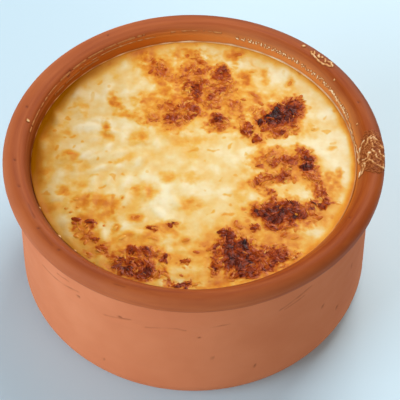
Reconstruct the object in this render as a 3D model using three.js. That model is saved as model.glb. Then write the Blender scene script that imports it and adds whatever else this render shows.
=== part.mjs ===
// A baked rice pudding in its own terracotta dish. Millimetres, +Z up, origin at the centre of the dish's foot.
//
// The dish is one thrown piece of clay: a straight wall with a rounded foot and a heavy turned-out lip, whose
// crown slopes down to the inside. The pudding fills it to just under the lip. Its baked skin is lifted by the
// rice grains beneath it and crumples into crags where the oven has scorched it.
import * as THREE from 'three';

// Driving dimensions of the dish
const RIM_RADIUS = 60;
const HEIGHT = 57.4;
const LIP_HEIGHT = 7; // from the underside of the lip to its crown
const LIP_ROUND = 3; // rounding of the lip's outer edge
const LIP_FILLET = 1.2; // hollow corner between the lip's underside and the wall
const CROWN_INSET = 5; // the crown is level from its outer rounding to this far in from the rim
const CROWN_DIP = 0.5; // how far its slope has fallen where it turns down most sharply
const MOUTH_RADIUS = 51.8; // where the crown's slope meets the inner wall
const MOUTH_DROP = 2.8; // how far that edge lies under the crown
const WALL_TOP_RADIUS = 55.9; // outside, under the lip
const WALL_FOOT_RADIUS = 56.5; // outside, where the foot's rounding starts
const FOOT_ROUND_WIDTH = 6.8;
const FOOT_ROUND_HEIGHT = 7.9;
const BORE_RADIUS = 51.2; // inner wall at the pudding's level
const BORE_FOOT_RADIUS = 50.2;
const BORE_ROUND = 9; // hollow corner between the inner wall and the floor
const FLOOR_THICKNESS = 7;
const DISH_SEGMENTS = 72;
const CURVE_STEPS = 3; // a hollow corner of the section has this many straight steps, and a round one twice that

// Driving dimensions of the pudding
const CLEARANCE = 0.3; // between the pudding and the dish
const SURFACE_HEIGHT = 51.2; // the level that the milk was filled to
const MENISCUS_RISE = 0.5; // the skin clings to the wall this much higher
const MENISCUS_WIDTH = 2.5;
const MOST_RELIEF = 1.5; // no crag stands higher than this over the milk's level
const RINGS = 30; // of the pudding's top: ring k has 6 k corners, so that its triangles are all of one size
const ROUND_STEPS = 3; // of the rounding at its bottom edge

// Rice under the skin
const GRAINS = 250;
const GRAIN_LENGTH = 6.4;
const GRAIN_WIDTH = 2.6;
const GRAIN_RISE = 0.5;
const GRAIN_DRIFT = 1.2; // a grain lies up to this far from its even place
const GOLDEN_ANGLE = Math.PI * (3 - Math.sqrt(5));

// Scorched crusts on the skin: centre x and y, half length, half width, turn in degrees, and how far the crust
// stands up. The far side of the dish is +Y.
const CRUSTS = [
  { x: -11.5, y: 39.5, length: 6, width: 3, turn: -60, rise: 0.6 },
  { x: 2.5, y: 41, length: 7, width: 3.2, turn: -42, rise: 0.7 },
  { x: 1, y: 33, length: 5.5, width: 4, turn: 70, rise: 0.9 },
  { x: 9, y: 35, length: 4.5, width: 3, turn: 60, rise: 0.9 },
  { x: -4.5, y: 18.5, length: 8, width: 3.6, turn: 25, rise: 0.9 },
  { x: 8, y: 16.5, length: 5, width: 2.6, turn: -42, rise: 0.8 },
  { x: 28.5, y: 18, length: 8.5, width: 5, turn: 32, rise: 1.1 },
  { x: 35, y: -1, length: 5.5, width: 3.2, turn: 100, rise: 1 },
  { x: 38, y: -11, length: 7, width: 2.2, turn: -76, rise: 0.8 },
  { x: 27.5, y: -21.5, length: 9, width: 3.6, turn: -6, rise: 1.1 },
  { x: 10.5, y: -30, length: 2.4, width: 2, turn: 0, rise: 0.9 },
  { x: 13, y: -38, length: 8, width: 6, turn: -35, rise: 1.1 },
  { x: 24, y: -38.5, length: 6, width: 4, turn: 10, rise: 0.8 },
  { x: -17, y: -42, length: 6.8, width: 4.4, turn: -14, rise: 0.9 },
  { x: -35, y: -25, length: 3.6, width: 1.8, turn: -10, rise: 0.6 },
  { x: 26, y: -4, length: 7, width: 6, turn: 30, rise: 0.5 },
];
const CRAG_SPACING = 3.2; // between neighbouring crags in a crust
const CREASE_SHARE = 0.35; // of a crust's rise that is left in the creases between its crags

// Half the section of the dish, from the middle of its foot, up the outside, over the lip and down the inside to
// the middle of the floor.
function dishSection() {
  const quarter = Math.PI / 2;
  const lipUnderside = HEIGHT - LIP_HEIGHT;
  const footRadius = WALL_FOOT_RADIUS - FOOT_ROUND_WIDTH;
  const lipRoundRadius = RIM_RADIUS - LIP_ROUND;
  const boreTurn = FLOOR_THICKNESS + BORE_ROUND;
  const section = new THREE.Path();
  section.moveTo(0, 0);
  section.lineTo(footRadius, 0);
  section.absellipse(footRadius, FOOT_ROUND_HEIGHT, FOOT_ROUND_WIDTH, FOOT_ROUND_HEIGHT, -quarter, 0, false);
  section.lineTo(WALL_TOP_RADIUS, lipUnderside - LIP_FILLET);
  section.quadraticCurveTo(WALL_TOP_RADIUS, lipUnderside, WALL_TOP_RADIUS + LIP_FILLET, lipUnderside);
  section.absarc(lipRoundRadius, lipUnderside + LIP_ROUND, LIP_ROUND, -quarter, 0, false);
  section.absarc(lipRoundRadius, HEIGHT - LIP_ROUND, LIP_ROUND, 0, quarter, false);
  section.lineTo(RIM_RADIUS - CROWN_INSET, HEIGHT);
  section.quadraticCurveTo(MOUTH_RADIUS, HEIGHT - CROWN_DIP, MOUTH_RADIUS, HEIGHT - MOUTH_DROP);
  section.lineTo(BORE_RADIUS, SURFACE_HEIGHT);
  section.lineTo(BORE_FOOT_RADIUS, boreTurn);
  section.absarc(BORE_FOOT_RADIUS - BORE_ROUND, boreTurn, BORE_ROUND, 0, -quarter, true);
  section.lineTo(0, FLOOR_THICKNESS);
  return section;
}

function dishGeometry() {
  const geometry = new THREE.LatheGeometry(dishSection().getPoints(CURVE_STEPS), DISH_SEGMENTS);
  geometry.rotateX(Math.PI / 2);
  return geometry;
}

// A number from 0 to 1 that looks random and is the same each time, from a whole number and a second one that
// tells its uses apart.
function scatter(index, use) {
  const wave = Math.sin(index * 12.9898 + use * 78.233) * 43758.5453;
  return wave - Math.floor(wave);
}

// Grains lie evenly on a golden-angle spiral, each a little off its place, at its own turn, size and height.
function riceGrains(reach) {
  const grains = [];
  for (let i = 0; i < GRAINS; i++) {
    const radius = reach * Math.sqrt((i + 0.5) / GRAINS) - GRAIN_DRIFT * scatter(i, 1);
    const angle = i * GOLDEN_ANGLE;
    grains.push({
      x: radius * Math.cos(angle),
      y: radius * Math.sin(angle),
      length: (GRAIN_LENGTH / 2) * (0.8 + 0.4 * scatter(i, 2)),
      width: (GRAIN_WIDTH / 2) * (0.85 + 0.3 * scatter(i, 3)),
      turn: 180 * scatter(i, 4),
      rise: GRAIN_RISE * (0.4 + 0.8 * scatter(i, 5)),
    });
  }
  return grains;
}

// 1 in the middle of an oval spot, falling smoothly to almost nothing past its outline.
function ovalFade(spot, x, y) {
  const turn = THREE.MathUtils.degToRad(spot.turn);
  const dx = x - spot.x;
  const dy = y - spot.y;
  const along = (dx * Math.cos(turn) + dy * Math.sin(turn)) / spot.length;
  const across = (dy * Math.cos(turn) - dx * Math.sin(turn)) / spot.width;
  return Math.exp(-(along * along + across * across));
}

// Two crossing trains of bent waves, from 0 in the creases between crags to 1 on their peaks.
function crags(x, y) {
  const k = (2 * Math.PI) / CRAG_SPACING;
  const bend = 0.8 * (Math.sin(0.3 * k * x) + Math.cos(0.27 * k * y));
  const rising = Math.sin(k * (0.7 * x + 0.5 * y) + bend);
  const falling = Math.sin(k * (0.45 * x - 0.8 * y) - bend);
  return (2 + rising + falling) / 4;
}

// The inner wall leans out a little, and the pudding's side keeps its clearance to it.
function sideRadius(z) {
  const boreTurn = FLOOR_THICKNESS + BORE_ROUND;
  const share = (z - boreTurn) / (SURFACE_HEIGHT - boreTurn);
  return THREE.MathUtils.lerp(BORE_FOOT_RADIUS, BORE_RADIUS, share) - CLEARANCE;
}

// Height of the baked skin: the level of the milk, its meniscus at the wall, the grains and the crusts.
function skinHeight(grains, x, y) {
  const fromWall = sideRadius(SURFACE_HEIGHT) - Math.hypot(x, y);
  const meniscus = MENISCUS_RISE * Math.exp(-((fromWall / MENISCUS_WIDTH) ** 2));
  let relief = 0;
  for (const grain of grains) {
    relief += grain.rise * ovalFade(grain, x, y);
  }
  for (const crust of CRUSTS) {
    const cragged = CREASE_SHARE + (1 - CREASE_SHARE) * crags(x, y);
    relief += crust.rise * ovalFade(crust, x, y) * cragged;
  }
  const nearWall = Math.min(1, fromWall / MENISCUS_WIDTH);
  return SURFACE_HEIGHT + meniscus + Math.min(MOST_RELIEF, relief) * nearWall;
}

// Rings of corners from the middle outwards. Between two rings, each of six sectors has one triangle more on its
// outer side than on its inner one.
function addTop(positions, faces) {
  const radius = sideRadius(SURFACE_HEIGHT);
  const grains = riceGrains(radius - GRAIN_WIDTH);
  positions.push(0, 0, skinHeight(grains, 0, 0));
  let innerStart = 0;
  for (let ring = 1; ring <= RINGS; ring++) {
    const start = positions.length / 3;
    const corners = 6 * ring;
    const innerCorners = Math.max(1, corners - 6);
    for (let i = 0; i < corners; i++) {
      const angle = (2 * Math.PI * i) / corners;
      const x = (radius * ring * Math.cos(angle)) / RINGS;
      const y = (radius * ring * Math.sin(angle)) / RINGS;
      positions.push(x, y, skinHeight(grains, x, y));
    }
    for (let i = 0; i < corners; i++) {
      const sector = Math.floor(i / ring);
      const inner = i - sector;
      const a = start + i;
      const b = start + ((i + 1) % corners);
      const c = innerStart + (inner % innerCorners);
      faces.push(a, b, c);
      if (i % ring < ring - 1) {
        faces.push(c, b, innerStart + ((inner + 1) % innerCorners));
      }
    }
    innerStart = start;
  }
  return innerStart;
}

// One ring of corners lower down on the side, joined to the ring above it.
function addSideRing(positions, faces, aboveStart, radius, z) {
  const corners = 6 * RINGS;
  const start = positions.length / 3;
  for (let i = 0; i < corners; i++) {
    const angle = (2 * Math.PI * i) / corners;
    const next = (i + 1) % corners;
    positions.push(radius * Math.cos(angle), radius * Math.sin(angle), z);
    faces.push(aboveStart + i, start + i, aboveStart + next);
    faces.push(aboveStart + next, start + i, start + next);
  }
  return start;
}

function puddingGeometry() {
  const corners = 6 * RINGS;
  const bottom = FLOOR_THICKNESS + CLEARANCE;
  const round = BORE_ROUND - CLEARANCE;
  const turnRadius = sideRadius(bottom + round);
  const positions = [];
  const faces = [];
  let ringStart = addTop(positions, faces);
  for (let step = 0; step <= ROUND_STEPS; step++) {
    const angle = (Math.PI * step) / (2 * ROUND_STEPS);
    const radius = turnRadius - round * (1 - Math.cos(angle));
    const z = bottom + round * (1 - Math.sin(angle));
    ringStart = addSideRing(positions, faces, ringStart, radius, z);
  }
  const middle = positions.length / 3;
  positions.push(0, 0, bottom);
  for (let i = 0; i < corners; i++) {
    faces.push(ringStart + i, middle, ringStart + ((i + 1) % corners));
  }
  const geometry = new THREE.BufferGeometry();
  geometry.setAttribute('position', new THREE.Float32BufferAttribute(positions, 3));
  geometry.setIndex(faces);
  geometry.computeVertexNormals();
  return geometry;
}

const terracotta = new THREE.MeshStandardMaterial({ color: 0xbe744f, roughness: 0.75, metalness: 0 });
const bakedMilk = new THREE.MeshStandardMaterial({ color: 0xe6b86a, roughness: 0.4, metalness: 0 });

const dish = new THREE.Mesh(dishGeometry(), terracotta);
dish.name = 'dish';

const pudding = new THREE.Mesh(puddingGeometry(), bakedMilk);
pudding.name = 'pudding';

const ricePudding = new THREE.Group();
ricePudding.add(dish, pudding);

export default ricePudding;
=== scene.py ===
# %% [markdown]
# # A baked rice pudding in its clay dish
# This lesson dresses a small dessert: a terracotta dish, thrown on a wheel, with rice pudding baked in it
# until the milk skin browned and scorched. The solids that carry it are already made, and they come in here
# as a fixed frame. Everything else is built round them, in the same place and at the same size.

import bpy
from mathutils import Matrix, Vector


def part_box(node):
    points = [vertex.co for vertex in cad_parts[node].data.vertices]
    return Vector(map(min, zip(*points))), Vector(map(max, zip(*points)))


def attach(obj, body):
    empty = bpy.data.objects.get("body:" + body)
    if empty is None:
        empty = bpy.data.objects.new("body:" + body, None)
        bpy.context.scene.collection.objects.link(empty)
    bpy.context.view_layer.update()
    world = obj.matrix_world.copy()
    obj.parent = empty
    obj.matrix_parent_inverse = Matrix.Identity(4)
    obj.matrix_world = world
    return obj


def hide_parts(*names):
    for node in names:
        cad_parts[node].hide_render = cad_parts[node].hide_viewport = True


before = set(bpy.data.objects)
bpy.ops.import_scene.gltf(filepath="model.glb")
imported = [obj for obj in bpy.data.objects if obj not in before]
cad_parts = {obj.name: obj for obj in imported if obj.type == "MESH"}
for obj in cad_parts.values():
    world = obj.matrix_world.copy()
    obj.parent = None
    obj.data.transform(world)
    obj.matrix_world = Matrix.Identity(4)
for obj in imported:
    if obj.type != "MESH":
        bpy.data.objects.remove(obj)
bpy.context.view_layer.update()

# %% [markdown]
# ## Units and randomness
# Food and pots are thought of in millimetres and Blender works in metres, so one factor turns the first into
# the second. Anything random has its own seed, so that the lesson gives the same pudding every time.

# %% Modules and units
import math

import bmesh
import bpy
import numpy as np
from mathutils import Vector

MM = 0.001
TURN = 2 * math.pi
dish_low, dish_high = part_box("dish")
RIM_RADIUS = (dish_high.x - dish_low.x) / 2 / MM
DISH_HEIGHT = (dish_high.z - dish_low.z) / MM
print(f"the dish is {2 * RIM_RADIUS:.1f} mm across and {DISH_HEIGHT:.1f} mm high")

# %% [markdown]
# ## The camera
# The dessert is looked at as a diner does who leans over the table: from well above, with the near wall of
# the dish in view. A long lens at arm's length keeps the round mouth of the dish a calm oval. The frame is
# square, and the dish sits a little left and low in it, which a small lens shift gives without tilting.

# %% Place the camera
VIEW_DISTANCE = 600
VIEW_ELEVATION = math.radians(51.25)
AIM_HEIGHT = 25
SENSOR = 36
FOCAL_LENGTH = 165.15
SHIFT_RIGHT = 0.01625
SHIFT_UP = 0.03075

aim = Vector((0, 0, AIM_HEIGHT * MM))
backwards = Vector((0, -math.cos(VIEW_ELEVATION), math.sin(VIEW_ELEVATION)))
camera_data = bpy.data.cameras.new("camera")
camera_data.sensor_width = SENSOR
camera_data.lens = FOCAL_LENGTH
camera_data.shift_x = SHIFT_RIGHT
camera_data.shift_y = SHIFT_UP
camera = bpy.data.objects.new("camera", camera_data)
camera.location = aim + backwards * VIEW_DISTANCE * MM
camera.rotation_euler = (-backwards).to_track_quat("-Z", "Y").to_euler()
bpy.context.scene.collection.objects.link(camera)
bpy.context.scene.camera = camera
print("camera at", tuple(round(x, 3) for x in camera.location))

# %% [markdown]
# ## Helpers
# Two small functions serve every material: one turns a hex colour, as it is picked from a colour chart, into
# the linear numbers that a shader works with, and one adds a node with its settings and links. A third one
# builds a mesh object from arrays of corners and faces, because most pieces here are grown from a formula.

# %% Colour and node helpers
def linear(hex_colour):
    """A colour as Blender wants it, from hex digits such as 'c97f5a'."""
    channels = [int(hex_colour[i:i + 2], 16) / 255 for i in (0, 2, 4)]
    return [c / 12.92 if c <= 0.04045 else ((c + 0.055) / 1.055) ** 2.4 for c in channels] + [1]


def add_node(tree, kind, settings=(), inputs=()):
    """A new node: settings are its properties, and inputs are values or sockets, by name or number."""
    node = tree.nodes.new(kind)
    for name, value in dict(settings).items():
        setattr(node, name, value)
    for name, value in dict(inputs).items():
        if isinstance(value, bpy.types.NodeSocket):
            tree.links.new(value, node.inputs[name])
        else:
            node.inputs[name].default_value = value
    return node


def set_ramp(ramp_node, stops):
    """Gives a colour ramp its stops, as pairs of a place from 0 to 1 and a hex colour."""
    elements = ramp_node.color_ramp.elements
    while len(elements) < len(stops):
        elements.new(0.5)
    for element, (place, colour) in zip(elements, stops):
        element.position = place
        element.color = linear(colour)


def start_material(name):
    """A new material with its node tree, its Principled shader and a texture space in metres."""
    material = bpy.data.materials.new(name)
    material.use_nodes = True
    tree = material.node_tree
    place = add_node(tree, "ShaderNodeTexCoord").outputs["Object"]
    return material, tree, tree.nodes["Principled BSDF"], place


print("terracotta in linear numbers:", [round(c, 3) for c in linear("c97f5a")])

# %% Mesh helper
def build_piece(name, corners, faces, material, attributes=(), smooth=True):
    """A mesh object from arrays: corners in millimetres, faces of three or four corners, values by corner."""
    mesh = bpy.data.meshes.new(name)
    faces = np.asarray(faces)
    mesh.vertices.add(len(corners))
    mesh.vertices.foreach_set("co", (np.asarray(corners) * MM).astype(np.float32).ravel())
    mesh.loops.add(faces.size)
    mesh.loops.foreach_set("vertex_index", faces.ravel().astype(np.int32))
    mesh.polygons.add(len(faces))
    mesh.polygons.foreach_set("loop_start", np.arange(0, faces.size, faces.shape[1], dtype=np.int32))
    mesh.update(calc_edges=True)
    mesh.validate()
    for attribute_name, values in dict(attributes).items():
        attribute = mesh.attributes.new(attribute_name, "FLOAT", "POINT")
        attribute.data.foreach_set("value", np.asarray(values, np.float32))
    mesh.polygons.foreach_set("use_smooth", np.full(len(faces), smooth))
    mesh.materials.append(material)
    piece = bpy.data.objects.new(name, mesh)
    bpy.context.scene.collection.objects.link(piece)
    print(f"{name}: {len(corners)} corners, {len(faces)} faces")
    return piece


# %% [markdown]
# ## Noise
# Clay, skin and crust are uneven at several sizes at once. Gradient noise does that: at each crossing of a
# grid stands a random slope, and in between the slopes are blended. Adding finer and fainter copies gives
# detail. It is written for flat points in millimetres, so every call says how large its features really are.
# Next to it stand the two soft shapes that most fields are made of: a step and a bell.

# %% Gradient noise
NOISE_CELLS = 256


def noise(points, feature, seed, octaves=1, gain=0.5):
    """Uneven values from about -1 to 1 at flat points, with features of that size in millimetres."""
    rng = np.random.default_rng(seed)
    total = np.zeros(len(points))
    for octave in range(octaves):
        slopes = rng.uniform(0, TURN, (NOISE_CELLS, NOISE_CELLS))
        grid = points * (2 ** octave / feature) + rng.uniform(0, NOISE_CELLS, 2)
        cell = np.floor(grid).astype(int)
        part = grid - cell
        blend = part ** 3 * (part * (part * 6 - 15) + 10)
        corner = {}
        for i in (0, 1):
            for j in (0, 1):
                slope = slopes[(cell[:, 0] + i) % NOISE_CELLS, (cell[:, 1] + j) % NOISE_CELLS]
                corner[i, j] = np.cos(slope) * (part[:, 0] - i) + np.sin(slope) * (part[:, 1] - j)
        near = corner[0, 0] + blend[:, 0] * (corner[1, 0] - corner[0, 0])
        far = corner[0, 1] + blend[:, 0] * (corner[1, 1] - corner[0, 1])
        total += 1.4 * gain ** octave * (near + blend[:, 1] * (far - near))
    return total


def noise_pair(points, feature, seed, octaves=1, gain=0.5):
    """Two unrelated noises side by side, to shift flat points with."""
    return np.stack([noise(points, feature, seed + i, octaves, gain) for i in (0, 1)], 1)


def smoothstep(low, high, value):
    """0 below low, 1 above high and a soft step between them; with high below low it steps down."""
    share = np.clip((np.asarray(value, float) - low) / (high - low), 0, 1)
    return share * share * (3 - 2 * share)


def bell(distance, width):
    """1 at distance 0, fading to almost nothing at twice the width."""
    return np.exp(-((distance / width) ** 2))


def circle(angle):
    """Flat points on a circle of radius 1, at angles in radians."""
    return np.stack([np.cos(angle), np.sin(angle)], 1)


print("noise spans", [round(float(f(noise(np.random.default_rng(1).uniform(0, 99, (999, 2)), 5, 1))), 2)
                      for f in (np.min, np.max)])

# %% [markdown]
# ## The table and the light
# A plain pale surface, bluish white, lets the warm clay and the cream glow. The broad key lamp stands low at
# the left and a weaker lamp fills from the right front. A small one hangs over the mouth like a window and a
# broad one stands behind, and these two give the wet skin and the lip their highlights. The pale room lights
# the rest. Broad lamps give soft shadows, where a small bare one would give hard sparkles.

# %% Floor
FLOOR_SIZE = 4000


def pale_table():
    """Painted board: smooth, matt and a little blue."""
    material, tree, shader, place = start_material("painted_board")
    speckle = add_node(tree, "ShaderNodeTexNoise", inputs={"Vector": place, "Scale": 3.0, "Detail": 2.0})
    ramp = add_node(tree, "ShaderNodeValToRGB", inputs={"Fac": speckle.outputs["Fac"]})
    set_ramp(ramp, [(0.3, "c9e4f1"), (0.7, "d0e9f4")])
    tree.links.new(ramp.outputs["Color"], shader.inputs["Base Color"])
    shader.inputs["Roughness"].default_value = 0.6
    return material


half_floor = FLOOR_SIZE / 2
floor_corners = [(x * half_floor, y * half_floor, 0) for x, y in ((-1, -1), (1, -1), (1, 1), (-1, 1))]
table_top = build_piece("table_top", floor_corners, [(0, 1, 2, 3)], pale_table())

# %% Lamps and room light
def soft_lamp(name, place, aim_at, size, power, colour):
    """A square area lamp at a place in millimetres that faces another place."""
    data = bpy.data.lights.new(name, "AREA")
    data.size = size * MM
    data.energy = power
    data.color = linear(colour)[:3]
    lamp = bpy.data.objects.new(name, data)
    lamp.location = Vector(place) * MM
    facing = (Vector(aim_at) - Vector(place)).normalized()
    lamp.rotation_euler = facing.to_track_quat("-Z", "Y").to_euler()
    lamp.visible_camera = False
    bpy.context.scene.collection.objects.link(lamp)
    return lamp


# The key from the left, the fill from the right front, the window over the mouth and the lamp behind.
soft_lamp("key_lamp", (-640, -360, 225), (0, 0, 30), 520, 6.1, "e0f0ff")
soft_lamp("fill_lamp", (420, -620, 300), (0, 0, 30), 500, 1.1, "fff4ea")
soft_lamp("window_lamp", (110, 190, 430), (0, 0, 50), 240, 0.95, "fffdfc")
soft_lamp("back_lamp", (300, 640, 360), (0, 0, 50), 460, 3.2, "ffffff")

room = bpy.data.worlds.new("room")
room.use_nodes = True
room.node_tree.nodes["Background"].inputs["Color"].default_value = linear("f6f3ee")
room.node_tree.nodes["Background"].inputs["Strength"].default_value = 0.28
bpy.context.scene.world = room
bpy.context.scene.view_settings.view_transform = "Standard"

# %% [markdown]
# ## The dish
# The real dish was thrown on a wheel, so a lathe is the honest way to make it: one section, turned round the
# axis. The section follows the same sizes as the solid dish. What the wheel and the hand leave behind comes
# on top: faint rings on the wall, a fine crease round the crown of the lip, two grooves by the mouth and a
# slight wobble. Use has added hair scratches and small pits.

# %% Section of the dish
LIP_HEIGHT = 7
LIP_ROUND = 3
LIP_FILLET = 1.2
CROWN_INSET = 5
MOUTH_RADIUS = 51.8
MOUTH_DROP = 2.8
WALL_TOP_RADIUS = 55.9
WALL_FOOT_RADIUS = 56.5
FOOT_ROUND = (6.8, 7.9)
BORE_RADIUS = 51.2
BORE_FOOT_RADIUS = 50.2
BORE_ROUND = 9
FLOOR_THICKNESS = 7
SURFACE_HEIGHT = 51.2
MARKED_BAND = (33, 43.5)  # heights of the wall that have closer rows, for the hair scratches there


def arc(centre, radii, start, end, steps):
    """Points of an elliptic arc in the section, angles in degrees."""
    angles = np.radians(np.linspace(start, end, steps))
    return [(centre[0] + radii[0] * math.cos(a), centre[1] + radii[1] * math.sin(a)) for a in angles]


def straight(start, end, steps):
    """Points along a straight stretch of the section, without its last one."""
    return [tuple(start + (np.array(end) - start) * i / steps) for i in range(steps)]


def curved(start, bend, end, steps):
    """Points of a quadratic curve from start to end that leaves and arrives towards bend."""
    share = np.linspace(0, 1, steps)[:, None]
    start, bend, end = (np.array(p) for p in (start, bend, end))
    return [tuple(p) for p in (1 - share) ** 2 * start + 2 * share * (1 - share) * bend + share ** 2 * end]


def dish_section():
    """From the middle of the foot up the outside, over the lip and down to the middle of the floor."""
    underside = DISH_HEIGHT - LIP_HEIGHT
    foot = (WALL_FOOT_RADIUS - FOOT_ROUND[0], FOOT_ROUND[1])
    round_middle = RIM_RADIUS - LIP_ROUND
    mouth = (MOUTH_RADIUS, DISH_HEIGHT - MOUTH_DROP)
    turn = (BORE_FOOT_RADIUS - BORE_ROUND, FLOOR_THICKNESS + BORE_ROUND)
    points = [(0, 0)] + straight((foot[0] * 0.5, 0), (foot[0], 0), 8)
    points += arc(foot, FOOT_ROUND, -90, 0, 14)
    plain_top = (WALL_FOOT_RADIUS - 0.35, MARKED_BAND[0])
    marked_top = (WALL_FOOT_RADIUS - 0.5, MARKED_BAND[1])
    wall_top = (WALL_TOP_RADIUS, underside - LIP_FILLET)
    points += straight((WALL_FOOT_RADIUS, FOOT_ROUND[1]), plain_top, 20)[1:]
    points += straight(plain_top, marked_top, 42)
    points += straight(marked_top, wall_top, 5)
    points += curved(wall_top, (WALL_TOP_RADIUS, underside), (WALL_TOP_RADIUS + LIP_FILLET, underside), 5)
    points += arc((round_middle, underside + LIP_ROUND), (LIP_ROUND, LIP_ROUND), -90, 0, 10)
    points += arc((round_middle, DISH_HEIGHT - LIP_ROUND), (LIP_ROUND, LIP_ROUND), 0, 90, 12)
    crown = (RIM_RADIUS - CROWN_INSET, DISH_HEIGHT)
    points += straight((round_middle, DISH_HEIGHT), crown, 8)[1:]
    points += curved(crown, (MOUTH_RADIUS + 1, DISH_HEIGHT - 0.7), mouth, 20)
    below_skin = (BORE_RADIUS, SURFACE_HEIGHT - 1)
    points += straight(mouth, below_skin, 10)[1:]
    points += straight(below_skin, (BORE_FOOT_RADIUS, turn[1]), 10)
    points += arc(turn, (BORE_ROUND, BORE_ROUND), 0, -90, 8)
    return points + [(0, FLOOR_THICKNESS)]


section = dish_section()
print("the section has", len(section), "points")

# %% [markdown]
# ## Turning the section
# The corners form rings, one for each point of the section, and the rings are joined by four-sided faces. The
# wobble and the wheel's rings are added along the radius, and they fade out at the foot so that the dish
# still stands flat. Creases and grooves lower the lip. Each corner also remembers how much slip it has, since
# the potter dipped the lip and the inside and left the wall and the foot raw, how much milk the oven left on
# it, how dark its marks are and how much painted shade lies on it.

# %% Marks in the clay
UNROLLED_RADIUS = 56  # marks are measured on the wall as if it were unrolled at this radius

# Each scratch is a line of (angle in degrees, height) on the wall, and each pit one such place with its size.
WALL_SCRATCHES = [
    [(-147, 37), (-141, 37.6), (-136, 38.5), (-129, 40.5)],
    [(-105, 36.5), (-99, 38), (-95, 38.2), (-92.5, 37.5)], [(-119, 36), (-113, 37.6), (-110, 38.5)],
    [(-62, 39), (-56, 41), (-50, 42.5)], [(-60, 38.2), (-53, 40)], [(-138, 41.5), (-133, 42.2)],
    [(-84, 39), (-79, 39.6)],
]
WALL_PITS = [
    (-129, 38, 0.5), (-27.5, 30, 0.5), (-44, 26.5, 0.45), (-84, 22.5, 0.5), (-88, 34, 0.35),
    (-113.5, 38, 0.55), (-70, 14, 0.4), (-120, 12, 0.4), (-36, 18, 0.4),
]
# On the lip a place is (angle in degrees, millimetres outwards over the clay from the mouth's edge).
LIP_SCRATCHES = [
    [(-145.5, 6.1), (-137.5, 6.6)], [(-113.5, 7.2), (-110.5, 7.2)], [(-156, 4.6), (-150, 5.2)],
]
LIP_PITS = [
    (141, 1.4, 0.75), (139.6, 1.9, 0.5), (162, 5.4, 0.45), (-175, 5.4, 0.4), (-164, 5.4, 0.4),
    (-145.5, 6.1, 0.45), (-135, 6.4, 0.4), (120, 5.8, 0.3), (20, 5.6, 0.3), (-30, 4.2, 0.35),
]
SCRATCH_WIDTH = 0.3
PIT_DEPTH = 0.3


def unrolled(angle, across):
    """Flat places in millimetres of angles in degrees, from -180 to 180, and of sizes across them."""
    return np.stack([np.radians(angle) * UNROLLED_RADIUS, across], -1)


def line_distance(points, line):
    """Distance in millimetres from flat points to a line of places."""
    nearest = np.full(len(points), np.inf)
    for start, end in zip(line[:-1], line[1:]):
        stretch = end - start
        share = np.clip((points - start) @ stretch / (stretch @ stretch), 0, 1)
        nearest = np.minimum(nearest, np.hypot(*(points - start - share[:, None] * stretch).T))
    return nearest


def near_lines(points, lines, width):
    """How near unrolled points are to any of the lines: 1 on a line, fading over the width."""
    nearest = np.zeros(len(points))
    for line in lines:
        nearest = np.maximum(nearest, bell(line_distance(points, unrolled(*np.array(line).T)), width))
    return nearest


def near_spots(points, spots):
    """How near unrolled points are to any of the spots: 1 in the middle of one, fading over its size."""
    nearest = np.zeros(len(points))
    for angle, across, size in spots:
        nearest = np.maximum(nearest, bell(np.hypot(*(points - unrolled(angle, across)).T), size))
    return nearest


def marks_at(points, scratches, pits):
    """How deep the marks are at unrolled points, from 0 to 1."""
    wavy = points + 0.12 * noise_pair(points, 2, 17)
    faint = 0.35 + 0.35 * noise(points, 3, 15)
    return np.maximum(faint * near_lines(wavy, scratches, SCRATCH_WIDTH), near_spots(wavy, pits))


print(len(WALL_SCRATCHES) + len(LIP_SCRATCHES), "scratches and", len(WALL_PITS) + len(LIP_PITS), "pits")

# %% Shape the clay
WALL_RING_SPACING = 5.5
WALL_RING_DEPTH = 0.05
WOBBLE = 0.22
LUMPS = 0.06
CREASE_ACROSS = 3.7
CREASE_WIDTH = 0.5
CREASE_DEPTH = 0.08
FAR_LEFT = 130  # degrees round the dish, from the right over the far side
GROOVES_ACROSS = (0.7, 1.7)  # two grooves by the mouth's edge, deepest at the far left
GROOVE_WIDTH = 0.28
GROOVE_DEPTH = 0.3
MOUTH_SAG = 1.9  # the mouth's edge lies this much lower at the near side than at the far side
WALL_TOP = 48  # the wall's marks lie below this height, and the haze in the mouth above it
LIP_SPAN = 9  # from the mouth's edge over the crown to the round outer side

crest = int(np.argmax(np.array(section)[:, 0] + np.array(section)[:, 1] / 100))
lip_line = np.array(section[crest:])
lip_steps = np.hypot(*np.diff(lip_line, axis=0).T)
mouth_index = int(np.argmin(np.hypot(*(lip_line - (MOUTH_RADIUS, DISH_HEIGHT - MOUTH_DROP)).T)))
lip_across = np.concatenate([[0], -np.cumsum(lip_steps)])
lip_across -= lip_across[mouth_index]


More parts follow.
